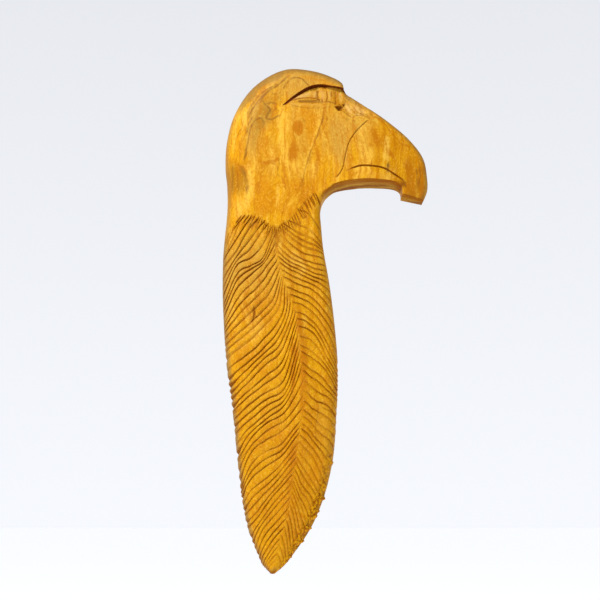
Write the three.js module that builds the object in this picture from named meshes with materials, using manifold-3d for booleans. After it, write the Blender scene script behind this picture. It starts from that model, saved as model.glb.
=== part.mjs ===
// Carved eagle head: a wall carving cut from one thick board, a head in profile over one long feather.
// Millimetres. +X points along the beak, +Z up, the carved face looks toward -Y, the flat back is Y = 0.
// The origin is on the flat back, behind the cheek.
import * as THREE from 'three';
import { mergeVertices } from 'three/addons/utils/BufferGeometryUtils.js';
import Module from 'manifold-3d';

const wasm = await Module();
wasm.setup();
const { lerp, smoothstep, clamp, degToRad } = THREE.MathUtils;

// Thickness of the board's carved face above the flat back
const CHEEK_THICKNESS = 60;
const FEATHER_THICKNESS = 52;
const TIP_THICKNESS = 24;
const HOOK_THICKNESS = 34;
const CHEEK_START_Z = -110;
const FEATHER_TOP_Z = -230;
const BLUNT_TIP_Z = -646.5;
const BEAK_SLOPE_START_X = 120;
const BEAK_SLOPE_END_X = 212;
const BEAK_SLOPE_CURVE = 1.5;
const CHIN_Z = -62;
const HOOK_BOTTOM_Z = -88;
const HOOK_BOTTOM_CUT = 8;

// Gentle ridge down the feather and the fall of its two halves toward the edges
const RIDGE_HEIGHT = 3;
const RIDGE_HALF_WIDTH = 16;
const FEATHER_FALL = 6;
const RIDGE_FULL_Z = -260;
const RIDGE_GONE_Z = -150;

// Eye hollow: a parabola for the brow's lower edge, and a floor that dips inward under it
const BROW_PEAK_X = 50;
const BROW_PEAK_Z = 84.5;
const BROW_SPREAD = 118;
const BROW_START_X = -11;
const BROW_END_X = 85;
const BROW_STEPS = 12;
const LID = [[0, 57], [30, 55.5], [52, 55], [66, 51], [73, 45]];
const LID_Z = 55;
const EYE_FLOOR_TILT = 27;

// Lore: the facet between the eye, the cere and the top of the beak, sloping back from its lower edge
const LORE = [[72, 46], [85, 39], [92, 33.5], [101, 37], [119, 31], [150, 60], [100, 100], [85, 80], [74, 62]];
const LORE_Z = 36;
const LORE_FLOOR_TILT = 12;
const LORE_EDGE_DEPTH = 2;
const POCKET_HEIGHT = 60;

// V cuts that mark the cere and the mouth
const CUT_DEPTH = 3.5;
const CERE_CUT = [[118, 30], [104, 16], [93, 2], [86, -16], [83, -34], [73, -57]];
const MOUTH_CUT = [[92, -47], [108, -40], [136, -42], [157, -50], [177, -64]];

// Stations from the feather's tip, up the neck, round the head and out along the beak to the hook.
// Each holds the left or upper edge x, z, the right or lower edge x, z, and the rounding of both edges.
// No rounding takes up more of a narrow station than this share of its width.
const ROUNDING_SHARE = 0.45;
const STATIONS = [
  [-28, -646.5, -22, -646.5, 3, 3],
  [-38, -637, -10, -637, 8, 7],
  [-49.5, -615, 8, -615, 14, 11],
  [-61.5, -585, 28, -586, 19, 14],
  [-71.5, -540, 49, -540, 23, 16],
  [-78, -487, 63, -487, 25, 17],
  [-86, -410, 70, -410, 25, 17],
  [-95, -345, 72, -350, 25, 17],
  [-100, -280, 67.5, -284, 25, 17],
  [-102.5, -215, 59.5, -218, 27, 16],
  [-101, -165, 49.5, -160, 30, 15],
  [-97, -125, 46, -120, 33, 13],
  [-95, -85, 47, -98, 36, 10],
  [-99.5, -45, 52, -83, 38, 5],
  [-98, 3, 58, -76, 38, 2],
  [-86, 49, 64, -71, 36, 2],
  [-56, 91, 70, -68, 30, 2],
  [-10, 115.5, 78, -66, 22, 2],
  [30, 113.5, 86, -64.5, 18, 2],
  [60, 103.5, 94, -63.5, 14, 2],
  [79, 91, 102, -62.5, 11, 2],
  [83, 77, 106, -62, 9, 2],
  [112, 56, 120, -61.5, 9, 2],
  [148, 32.5, 138, -62, 9, 2],
  [183, 5, 153, -63, 9, 2],
  [204, -22, 163, -65.5, 8, 2],
  [209.5, -50, 168.5, -69.5, 7, 2],
  [209.5, -73, 170.5, -75, 6, 2],
  [203, -88, 170.5, -81, 5, 2],
];

// How finely the surface is faceted: rings along the carving, and steps round each ring
const RINGS = 84;
const FACE_STEPS = 28;
const WALL_STEPS = 3;
const BACK_STEPS = 4;
const CUT_STEPS = 14;
const MIDRIB_STEPS = 60;
const MERGE_WITHIN = 1e-3;

// The feather's midrib from the neck to the tip, as x at a few heights
const MIDRIB = new THREE.CatmullRomCurve3([
  new THREE.Vector3(-20, 0, -100),
  new THREE.Vector3(-21, 0, -180),
  new THREE.Vector3(9, 0, -265),
  new THREE.Vector3(20, 0, -385),
  new THREE.Vector3(8, 0, -490),
  new THREE.Vector3(-5, 0, -570),
  new THREE.Vector3(-25, 0, BLUNT_TIP_Z),
]);
const MIDRIB_POINTS = MIDRIB.getPoints(MIDRIB_STEPS);

function midribX(z) {
  const below = MIDRIB_POINTS.findIndex((point) => point.z <= z);
  if (below <= 0) return MIDRIB_POINTS[0].x;
  const [high, low] = [MIDRIB_POINTS[below - 1], MIDRIB_POINTS[below]];
  return lerp(high.x, low.x, (high.z - z) / (high.z - low.z));
}

// Height of the carved face over the back before its edges are rounded and its details are cut
function faceHeight(x, z) {
  const upFeather = clamp((z - BLUNT_TIP_Z) / (FEATHER_TOP_Z - BLUNT_TIP_Z), 0, 1);
  const feather = lerp(TIP_THICKNESS, FEATHER_THICKNESS, Math.sin(upFeather * Math.PI / 2));
  const intoHead = smoothstep(z, FEATHER_TOP_Z, CHEEK_START_Z);
  const body = lerp(feather, CHEEK_THICKNESS, intoHead);
  const alongBeak = clamp((x - BEAK_SLOPE_START_X) / (BEAK_SLOPE_END_X - BEAK_SLOPE_START_X), 0, 1);
  const beak = (CHEEK_THICKNESS - HOOK_THICKNESS) * alongBeak ** BEAK_SLOPE_CURVE;
  const hookCut = HOOK_BOTTOM_CUT * clamp((CHIN_Z - z) / (CHIN_Z - HOOK_BOTTOM_Z), 0, 1) * alongBeak;
  return body - beak - hookCut;
}

// Convex section of the feather: a low ridge on the midrib, falling toward both edges
function featherSection(x, z, left, right) {
  const middle = midribX(z);
  const halfWidth = x < middle ? middle - left.x : right.x - middle;
  const outward = clamp(Math.abs(x - middle) / Math.max(halfWidth, 1), 0, 1);
  const ridge = RIDGE_HEIGHT * Math.exp(-(((x - middle) / RIDGE_HALF_WIDTH) ** 2));
  const onFeather = 1 - smoothstep(z, RIDGE_FULL_Z, RIDGE_GONE_Z);
  return onFeather * (ridge - FEATHER_FALL * outward ** 2);
}

// Height left by an edge rounded over `radius` at a distance `inside` from that edge
function roundedShare(inside, radius) {
  const across = clamp(inside / radius, 0, 1);
  return Math.sqrt(1 - (1 - across) ** 2);
}

// Curves through one pair of numbers of every station
function stationCurve(first, second) {
  const points = STATIONS.map((station) => new THREE.Vector3(station[first], 0, station[second]));
  return new THREE.CatmullRomCurve3(points, false, 'centripetal');
}

// One closed ring: up the left wall, over the carved face, down the right wall and back along Y = 0
function ringAt(left, right, leftRounding, rightRounding) {
  const width = left.distanceTo(right);
  const roundLeft = Math.min(leftRounding, ROUNDING_SHARE * width);
  const roundRight = Math.min(rightRounding, ROUNDING_SHARE * width);
  const heightAt = (across) => {
    const point = left.clone().lerp(right, across);
    const plain = faceHeight(point.x, point.z) + featherSection(point.x, point.z, left, right);
    const lostLeft = roundLeft * (1 - roundedShare(across * width, roundLeft));
    const lostRight = roundRight * (1 - roundedShare((1 - across) * width, roundRight));
    return plain - lostLeft - lostRight;
  };
  const place = (across, height) => {
    const point = left.clone().lerp(right, across);
    return new THREE.Vector3(point.x, -height, point.z);
  };
  const ring = [];
  for (let i = 0; i < WALL_STEPS; i += 1) ring.push(place(0, heightAt(0) * i / WALL_STEPS));
  for (let i = 0; i < FACE_STEPS; i += 1) {
    const across = (1 - Math.cos(Math.PI * i / FACE_STEPS)) / 2;
    ring.push(place(across, heightAt(across)));
  }
  for (let i = 0; i < WALL_STEPS; i += 1) ring.push(place(1, heightAt(1) * (1 - i / WALL_STEPS)));
  for (let i = 0; i < BACK_STEPS; i += 1) ring.push(place(1 - i / BACK_STEPS, 0));
  return ring;
}

// Skin over a row of equal rings, closed by a fan at both ends
function closedLoft(rings) {
  const around = rings[0].length;
  const points = rings.flat();
  const faces = [];
  for (let r = 0; r + 1 < rings.length; r += 1) {
    for (let i = 0; i < around; i += 1) {
      const next = (i + 1) % around;
      const [a, b] = [r * around + i, r * around + next];
      const [c, d] = [a + around, b + around];
      faces.push(a, b, d, a, d, c);
    }
  }
  const fan = (ring, offset, flip) => {
    const middle = new THREE.Vector3();
    ring.forEach((point) => middle.addScaledVector(point, 1 / around));
    const centre = points.push(middle) - 1;
    for (let i = 0; i < around; i += 1) {
      const [a, b] = [offset + i, offset + (i + 1) % around];
      faces.push(centre, flip ? b : a, flip ? a : b);
    }
  };
  fan(rings[0], 0, true);
  fan(rings[rings.length - 1], (rings.length - 1) * around, false);
  const geometry = new THREE.BufferGeometry().setFromPoints(points);
  geometry.setIndex(faces);
  return mergeVertices(geometry, MERGE_WITHIN);
}

function uncutHead() {
  const leftEdge = stationCurve(0, 1);
  const rightEdge = stationCurve(2, 3);
  const roundings = stationCurve(4, 5);
  const rings = [];
  for (let r = 0; r <= RINGS; r += 1) {
    const along = r / RINGS;
    const rounding = roundings.getPoint(along);
    rings.push(ringAt(leftEdge.getPoint(along), rightEdge.getPoint(along), rounding.x, rounding.z));
  }
  return closedLoft(rings);
}

// A straight-sided block over an outline of the face, standing on a floor that dips inward as it rises.
// The floor turns about a level line at height `hingeZ`, `depth` under the cheek's plane.
function tiltedPocket(outline, hingeZ, depth, tilt) {
  const angle = degToRad(tilt);
  const points = outline.map(([x, z]) => new THREE.Vector2(x, (z - hingeZ) / Math.cos(angle)));
  const pocket = new THREE.ExtrudeGeometry(new THREE.Shape(points), { depth: POCKET_HEIGHT, bevelEnabled: false });
  pocket.rotateX(Math.PI / 2 - angle);
  pocket.translate(0, depth - CHEEK_THICKNESS, hingeZ);
  return pocket;
}

// The eye hollow's outline: along the lid, then back over the eye under the brow
function eyeOutline() {
  const outline = [...LID, [BROW_END_X, 58]];
  for (let i = 0; i <= BROW_STEPS; i += 1) {
    const x = lerp(BROW_END_X, BROW_START_X, i / BROW_STEPS);
    outline.push([x, BROW_PEAK_Z - (x - BROW_PEAK_X) ** 2 / BROW_SPREAD]);
  }
  return outline;
}

// A square bar on its corner, swept along a line of the face so that it cuts a V
function veeCutter(line) {
  const path = new THREE.CatmullRomCurve3(line.map(([x, z]) => new THREE.Vector3(x, -faceHeight(x, z), z)));
  const corners = [[CUT_DEPTH, 0], [0, CUT_DEPTH], [-CUT_DEPTH, 0], [0, -CUT_DEPTH]];
  const section = new THREE.Shape(corners.map(([a, b]) => new THREE.Vector2(a, b)));
  return new THREE.ExtrudeGeometry(section, { extrudePath: path, steps: CUT_STEPS, bevelEnabled: false });
}

// A closed mesh as a solid that can be cut, and back again
function solidOf(geometry) {
  const bare = geometry.clone();
  bare.deleteAttribute('normal');
  bare.deleteAttribute('uv');
  const merged = mergeVertices(bare, MERGE_WITHIN);
  const mesh = new wasm.Mesh({
    numProp: 3,
    vertProperties: new Float32Array(merged.attributes.position.array),
    triVerts: new Uint32Array(merged.index.array),
  });
  return new wasm.Manifold(mesh);
}

function geometryOf(solid) {
  const mesh = solid.getMesh();
  const geometry = new THREE.BufferGeometry();
  geometry.setAttribute('position', new THREE.BufferAttribute(mesh.vertProperties, 3));
  geometry.setIndex(new THREE.BufferAttribute(mesh.triVerts, 1));
  geometry.computeVertexNormals();
  return geometry;
}

function eagleHead() {
  const cutters = [
    tiltedPocket(eyeOutline(), LID_Z, 0, EYE_FLOOR_TILT),
    tiltedPocket(LORE, LORE_Z, LORE_EDGE_DEPTH, LORE_FLOOR_TILT),
    veeCutter(CERE_CUT),
    veeCutter(MOUTH_CUT),
  ];
  const carved = cutters.reduce((solid, cutter) => solid.subtract(solidOf(cutter)), solidOf(uncutHead()));
  const wood = new THREE.MeshStandardMaterial({ color: 0xd9962f, roughness: 0.55, metalness: 0 });
  const mesh = new THREE.Mesh(geometryOf(carved), wood);
  mesh.name = 'carved_eagle_head';
  return mesh;
}

const carving = new THREE.Group();
carving.add(eagleHead());

export default carving;
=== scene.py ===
import math

import bmesh
import bpy
import numpy as np
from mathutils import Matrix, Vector, noise


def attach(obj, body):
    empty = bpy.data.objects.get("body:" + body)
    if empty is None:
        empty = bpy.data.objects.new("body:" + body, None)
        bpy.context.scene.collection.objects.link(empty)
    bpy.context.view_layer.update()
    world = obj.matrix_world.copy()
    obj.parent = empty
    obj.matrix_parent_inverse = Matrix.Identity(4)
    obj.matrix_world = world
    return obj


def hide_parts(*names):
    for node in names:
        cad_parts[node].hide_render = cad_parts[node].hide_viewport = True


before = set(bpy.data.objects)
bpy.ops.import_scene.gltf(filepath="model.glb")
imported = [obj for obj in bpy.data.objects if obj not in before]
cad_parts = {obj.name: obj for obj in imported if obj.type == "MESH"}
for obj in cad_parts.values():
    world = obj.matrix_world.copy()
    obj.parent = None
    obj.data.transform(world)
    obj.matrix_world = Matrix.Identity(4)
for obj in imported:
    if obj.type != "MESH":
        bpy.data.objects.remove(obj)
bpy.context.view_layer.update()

# The blank: one thick board of softwood, sawn to the outline of a head over a long feather.
# Its back stays flat and its sides upright. Sizes are in millimetres, as x to the beak and z up,
# and every curve runs smoothly through a few points.


def smooth_curve(knots, values, at):
    """A cubic curve through values at rising knots, read off at the places asked for."""
    knots, values = np.array(knots, float), np.array(values, float)
    slopes = np.gradient(values, knots, axis=0)
    at = np.clip(at, knots[0], knots[-1])
    left = np.clip(np.searchsorted(knots, at, side="right") - 1, 0, len(knots) - 2)
    step = knots[left + 1] - knots[left]
    t = (at - knots[left]) / step
    if values.ndim > 1:
        t, step = t[..., None], step[..., None]
    rise = values[left + 1] - values[left]
    return (
        values[left] + t * step * slopes[left]
        + t ** 2 * (3 * rise - step * (2 * slopes[left] + slopes[left + 1]))
        + t ** 3 * (step * (slopes[left] + slopes[left + 1]) - 2 * rise)
    )


def ease(low, high, value):
    """Rises gently from 0 at one value to 1 at the other, whichever is larger."""
    t = np.clip((value - low) / (high - low), 0, 1)
    return t * t * (3 - 2 * t)


def mix(low, high, share):
    return low + (high - low) * share


tip_z = -646.5
neck_z = -95
board_thickness = 60
feather_left = [
    (tip_z, -28), (-637, -38), (-615, -49.5), (-585, -61.5), (-540, -71.5), (-487, -78), (-410, -86),
    (-345, -95), (-280, -100), (-215, -102.5), (-165, -101), (-125, -97),
]
feather_right = [
    (tip_z, -22), (-637, -10), (-615, 8), (-586, 28), (-540, 49), (-487, 63), (-410, 70), (-350, 72),
    (-284, 67.5), (-218, 59.5), (-160, 49.5), (-120, 46),
]
midrib = [
    (tip_z, -25), (-602, -15), (-570, -5), (-545, 0), (-510, 5), (-480, 10), (-440, 15), (-405, 20),
    (-369, 21), (-335, 17), (-300, 13), (-260, 8), (-228, -5), (-187, -17), (-154, -22), (-95, -20),
]
left_rounding = [
    (tip_z, 3), (-637, 8), (-615, 14), (-585, 19), (-540, 23), (-487, 25), (-280, 25), (-186, 28),
]
right_rounding = [
    (tip_z, 3), (-637, 7), (-615, 11), (-585, 14), (-540, 16), (-487, 17), (-218, 16), (-139, 15),
]


def along_feather(curve, z):
    heights, values = zip(*curve)
    return smooth_curve(heights, values, z)


# From the neck on, each station holds a place on the upper or left edge, one on the lower or right edge,
# the rounding of both edges and how much of the feather's chevron is left there.
stations = np.array([
    (-102, -186, 48, -139, 28, 15, 1), (-99, -145, 46, -118, 31, 14, 0.72),
    (-95.5, -105, 46.5, -103, 35, 12, 0.48), (-96.5, -68, 49, -91, 37, 8, 0.28),
    (-99.5, -38, 53, -82, 38, 4, 0.12), (-98, 3, 58, -76, 38, 2, 0), (-86, 49, 64, -71, 36, 1.5, 0),
    (-56, 91, 70, -68, 30, 1.5, 0), (-10, 115.5, 78, -66, 22, 1.5, 0), (30, 113.5, 86, -64.5, 18, 1.5, 0),
    (60, 103.5, 94, -63.5, 14, 1.5, 0), (79, 91, 102, -62.5, 10, 1.5, 0), (83, 77, 106, -62, 7, 1.5, 0),
    (112, 56, 120, -61.5, 9, 1.5, 0), (148, 32.5, 138, -62, 10, 1.5, 0), (183, 5, 153, -63, 10, 1.5, 0),
    (204, -22, 163, -65.5, 9, 1.5, 0), (209.5, -50, 168.5, -69.5, 8, 1.5, 0),
    (209.5, -73, 170.5, -75, 7, 1.5, 0), (203, -88, 170.5, -81, 5, 1.5, 0),
])
station_gaps = np.hypot(*np.diff(stations[:, :2], axis=0).T)
station_knots = np.concatenate([[0], np.cumsum(np.sqrt(station_gaps))])
station_lengths = np.concatenate([[0], np.cumsum(station_gaps)])

# The long hair cuts: each runs from the midrib down to an edge. A guide starts on the midrib at the height
# given first, falls by the next four values at a quarter, half, three quarters and all of its way,
# and ends with the number of cuts above it.
left_guides = [
    (-95, 8, 22, 52, 86, 0), (-104, 12, 31, 67, 90, 1.4), (-114, 22, 50, 71, 106, 3),
    (-130, 39, 57, 68, 112, 4.8), (-148, 35, 51, 68, 113, 6.4), (-169, 24, 42, 67, 110, 8.2),
    (-185, 26, 47, 70, 104, 9.8), (-198, 34, 56, 78, 106, 11.6), (-220, 56, 84, 106, 126, 15.4),
    (-260, 56, 82, 106, 128, 19.2), (-285, 64, 86, 108, 128, 21.6), (-310, 65, 83, 104, 124, 23.6),
    (-336.5, 60, 78, 101, 131, 25.9), (-370, 45, 61, 82, 117, 27.9), (-413, 32, 47, 66, 104, 29.8),
    (-442, 33, 49, 67, 96, 32.4), (-472, 31, 51, 70, 88, 34.9), (-522, 24, 45, 64, 80, 39.3),
    (-565, 20, 37, 51, 62, 42.4), (-600, 13, 24, 32, 38, 45), (-625, 6, 11, 15, 18, 47),
    (tip_z, 0, 0, 0, 0, 49.2),
]
right_guides = [
    (-95, 4, 8, 14, 40, 0), (-117, 9, 17, 25, 46, 1.8), (-127.5, 17, 31, 39, 47, 4.2),
    (-138, 23, 36, 43, 46.5, 5.6), (-152, 23, 34, 40, 42, 7), (-167, 20, 30, 35, 39, 8.2),
    (-180, 16, 26, 32, 40, 9.6), (-192, 13, 22, 31, 44, 10.8), (-224, 6, 16, 35, 58, 13.5),
    (-260, 6, 18, 46, 80, 16.3), (-285, 5, 18, 48, 76, 18.4), (-314, 9, 20, 38, 60, 20.8),
    (-336.5, 11, 23, 36, 50, 22.5), (-388, 10, 17, 25, 38, 25.9), (-448, 13, 28, 44, 60, 31.8),
    (-492, 20, 36, 51, 65, 36.2), (-536, 21, 39, 54, 66, 41.5), (-570, 18, 33, 44, 52, 44.7),
    (-600, 12, 22, 30, 36, 47.3), (-625, 5, 10, 14, 17, 49.3), (tip_z, 0, 0, 0, 0, 51.5),
]
hand = np.random.default_rng(11)
spacing_error = 0.17


def cut_starts(guides):
    """Heights on the midrib at which the cuts of one side start, spaced by eye."""
    heights = [guide[0] for guide in guides]
    counts = [guide[-1] for guide in guides]
    wanted = np.arange(0.5, counts[-1] - 1)
    wanted = wanted + hand.uniform(-spacing_error, spacing_error, len(wanted))
    return smooth_curve(counts, heights, wanted)


def guide_fall(guides, way, start_z):
    """How far a cut has fallen at a share of its way, blended from the guides above and below it."""
    rising = guides[::-1]
    table = np.array([(0, *guide[1:5]) for guide in rising], float)
    falls = smooth_curve([guide[0] for guide in rising], table, start_z)
    slopes = np.gradient(falls, axis=1)
    quarters = 4 * way
    part = np.clip(quarters.astype(int), 0, 3)
    row = np.arange(len(way))
    t = quarters - part
    low, high = falls[row, part], falls[row, part + 1]
    low_slope, high_slope = slopes[row, part], slopes[row, part + 1]
    return (
        low + t * low_slope
        + t ** 2 * (3 * (high - low) - 2 * low_slope - high_slope)
        + t ** 3 * (low_slope + high_slope - 2 * (high - low))
    )


left_cuts = cut_starts(left_guides)
right_cuts = cut_starts(right_guides)


def chevron(start_z, across):
    """Where a cut that starts at a height on the midrib lies, at a share of the way from left to right."""
    on_left = across < 0.5
    way = np.abs(1 - 2 * across)
    fall = np.where(on_left, guide_fall(left_guides, way, start_z), guide_fall(right_guides, way, start_z))
    long_wave = 1.3 * np.sin(start_z / 23 + 7 * way + 9 * on_left)
    short_wave = 0.78 * np.sin(start_z / 9.1 - 11 * way + 4 * on_left)
    shake = 0.22 * np.sin(0.55 * start_z + 31 * way + 2 * on_left) + 0.13 * np.sin(57 * way - 0.9 * start_z)
    room = ease(neck_z, -150, start_z) * ease(tip_z, -510, start_z) * ease(0.03, 0.25, way)
    z = start_z - fall + (long_wave + short_wave + shake) * room
    middle = along_feather(midrib, z)
    edge = np.where(on_left, along_feather(feather_left, z), along_feather(feather_right, z))
    return mix(middle, edge, way), z


# Rows of the mesh lie along the cuts, close together where a cut dips, so each cut keeps a clean V.
shares_of_pitch = (0, 0.16, -0.16, 0.08, -0.08, 0.34, -0.34)
closest_rows = 0.55
row_starts = [tip_z, neck_z]
for share in shares_of_pitch:
    for cuts in (left_cuts, right_cuts):
        for start in cuts + share * np.gradient(cuts):
            if tip_z < start < neck_z and min(abs(start - row) for row in row_starts) > closest_rows:
                row_starts.append(start)
row_starts = np.array(sorted(row_starts))
feather_rows = len(row_starts) - 1
head_rows = 208
face_columns, wall_columns, back_columns = 62, 3, 2
back = face_columns + wall_columns
left_wall = back + back_columns
columns = left_wall + wall_columns


def face_place(row, column):
    """Where a spot of the mesh lies on the face, and how it lies to both edges."""
    start_z = np.interp(row, np.arange(feather_rows + 1), row_starts)
    t = column / face_columns
    crowded_to_edges = 0.3
    across = mix(t, (1 - np.cos(np.pi * t)) / 2, crowded_to_edges)
    length = np.clip((row - feather_rows) / head_rows, 0, 1) * station_lengths[-1]
    knot = np.interp(length, station_lengths, station_knots)
    left_x, left_z, right_x, right_z, round_left, round_right, chevron_left = smooth_curve(
        station_knots, stations, knot).T
    neck_left_x, neck_left_z, neck_right_x, neck_right_z = stations[0, :4]
    x, z = chevron(start_z, across)
    in_head = row > feather_rows
    chevron_left = np.where(in_head, chevron_left, 1)
    head_x = mix(left_x, right_x, across) + chevron_left * (x - mix(neck_left_x, neck_right_x, across))
    head_z = mix(left_z, right_z, across) + chevron_left * (z - mix(neck_left_z, neck_right_z, across))
    x = np.where(in_head, head_x, x)
    z = np.where(in_head, head_z, z)
    width = np.hypot(right_x - left_x, right_z - left_z)
    left_edge, right_edge = along_feather(feather_left, z), along_feather(feather_right, z)
    from_left = mix(across * width, x - left_edge, chevron_left)
    from_right = mix((1 - across) * width, right_edge - x, chevron_left)
    round_left = np.where(in_head, round_left, along_feather(left_rounding, z))
    round_right = np.where(in_head, round_right, along_feather(right_rounding, z))
    width = mix(width, right_edge - left_edge, chevron_left)
    return x, z, across, start_z, from_left, from_right, round_left, round_right, width


# The carving itself: the face is thickest on the cheek, slopes back along the beak and thins down the
# feather. Every cut into it is made with a gouge or a V tool, and measured from the board's face.
mesh = bpy.data.meshes.new("eagle_head_carving")
carving = bmesh.new()
total_rows = feather_rows + head_rows
bmesh.ops.create_grid(carving, x_segments=columns, y_segments=total_rows, size=0.5)


def grid_places(points):
    """Rows and columns of points on the flat grid, counted in parts where it has been refined."""
    spots = np.array([tuple(point)[:2] for point in points])
    return (spots[:, 1] + 0.5) * total_rows, (spots[:, 0] + 0.5) * columns


def smooth_line(line):
    """Closely spaced spots on a smooth line through a few points, and the way walked to each point."""
    line = np.array(line, float)
    walked = np.concatenate([[0], np.cumsum(np.hypot(*np.diff(line, axis=0).T))])
    if len(line) == 2:
        return line, walked
    return smooth_curve(walked, line, np.linspace(0, walked[-1], 6 * (len(line) - 1))), walked


def way_along(line, x, z):
    """Distance to a line, how far along it the nearest spot is, and the line's length."""
    spots = smooth_line(line)[0]
    best = np.full(len(x), np.inf)
    along = np.zeros(len(x))
    walked = 0
    for start, end in zip(spots[:-1], spots[1:]):
        run = end - start
        length = np.hypot(*run)
        share = np.clip(((x - start[0]) * run[0] + (z - start[1]) * run[1]) / length ** 2, 0, 1)
        distance = np.hypot(x - start[0] - share * run[0], z - start[1] - share * run[1])
        nearer = distance < best
        best = np.where(nearer, distance, best)
        along = np.where(nearer, walked + share * length, along)
        walked += length
    return best, along, walked


def inside_outline(outline, x, z):
    """Tells which spots lie inside a closed outline."""
    inside = np.zeros(len(x), bool)
    for (ax, az), (bx, bz) in zip(outline, outline[1:] + outline[:1]):
        crosses = (az > z) != (bz > z)
        inside ^= crosses & (x < ax + (z - az) * (bx - ax) / (bz - az + 1e-9))
    return inside


def height_of(line, x):
    across, heights = zip(*line)
    return smooth_curve(across, heights, x)


brow_line = [
    (-11, 54), (-6, 58.7), (-1.5, 62.6), (6, 68.9), (15, 75.2), (24, 80.8), (33, 84.6), (42, 86.4),
    (52, 86.4), (61, 84.6), (70, 83.3), (78, 81.6), (84, 79.5),
]
lid_line = [
    (-11, 54), (-3, 55.5), (7, 57), (20, 56.3), (30, 55.6), (45, 56.3), (56, 55.5), (67, 51.8),
    (73.5, 45.5),
]
lid_crease = [(-4, 57), (7, 58.6), (20, 58), (32, 57.3), (44, 58)]
eye_crease = [(3, 61), (10, 63.8), (20, 65.3), (30, 65.6), (39, 64.4), (47, 60.6)]
notch_outline = [(66.5, 51.8), (70.5, 46.8), (73.5, 44.6), (78.9, 49.4), (85, 58.5), (77.4, 55.5)]
lore_line = [
    (73.5, 44.6), (79, 44.3), (86.4, 38.2), (91, 34.3), (98.5, 35.8), (109, 36.6), (118, 33.5), (124, 30.3),
]
cere_line = [
    (120, 31.3), (110.5, 23.3), (101.4, 13.9), (93.7, 3.7), (88.4, -7.2), (84.5, -21.3), (82.2, -32.1),
    (80, -43), (76, -51.5), (68, -60.5),
]
mouth_line = [
    (85, -49), (90.5, -46.2), (98, -43), (105.7, -40.7), (120.8, -40.7), (133, -41.8), (145, -44.9),
    (154, -50), (162.5, -55), (171, -60.5), (177, -64.5),
]
bib_edge = [
    (-104, -182), (-98, -174), (-91, -157), (-82, -138), (-71, -120), (-60, -116), (-42, -123), (-26, -132),
    (-18, -135), (-10, -129), (-2, -125), (7, -114), (17, -103), (27, -90), (37, -84), (43, -96),
    (50, -112),
]


# Marks in the face: each is a line, half its width and a strength. Amber ones are streaks of resin that the
# oil brings out. Brown ones are fine grain lines and smudges, and also painted shade along creases, in the
# notch, under the brow's end and in the hook's corner. Pale and bare ones are dry wood, and also painted
# highlights on the lid, the lower jaw's edge and the chisel facets.
amber_marks = [
    ([(45, 41), (46.5, 22), (43.5, -1)], 2.5, 0.6), ([(34.5, 37), (36, 19), (31.5, -1)], 2.5, 0.6),
    ([(43.5, -20), (40.5, -40), (40.5, -57)], 3, 0.8), ([(-13.5, -57), (-9, -68), (-5, -76)], 4.5, 0.75),
    ([(19.5, -57), (16, -70), (9, -84)], 4, 0.6), ([(12, 24), (12, 13)], 6, 1.4),
    ([(-48, -65), (-48, -87)], 6, 0.5), ([(-42, -37), (-28, -35), (-19, -32)], 3.5, 0.9),
    ([(-21, 55), (-27, 47)], 3, 1), ([(-78, -35), (-69, -48), (-61, -63), (-60, -76)], 2.5, 0.7),
    ([(30, 96), (42, 93), (67, 99)], 3, 0.6),
    ([(123, 38), (142, 27), (157, 10), (172, -6), (187, -16)], 2.2, 0.7), ([(127, 15), (136, -9)], 8, 0.7),
    ([(147, -13), (154, -29)], 4, 1), ([(5, -11), (3, -28)], 8.5, 1.4), ([(180, -30), (183, -87)], 10, 0.8),
    ([(201, -38), (198, -92)], 6, 0.9), ([(13, -257), (17, -300), (19, -350), (18, -415)], 7, 0.8),
    ([(9, -450), (2, -500), (-3, -545)], 7, 0.7), ([(2, -360), (6, -425)], 5, 0.6),
    ([(8, -308), (6, -345), (3, -385)], 3.5, 0.9), ([(-3, -500), (-2, -590)], 6, 0.6),
    ([(105, -32), (118, -28)], 6, 0.5),
]
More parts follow.
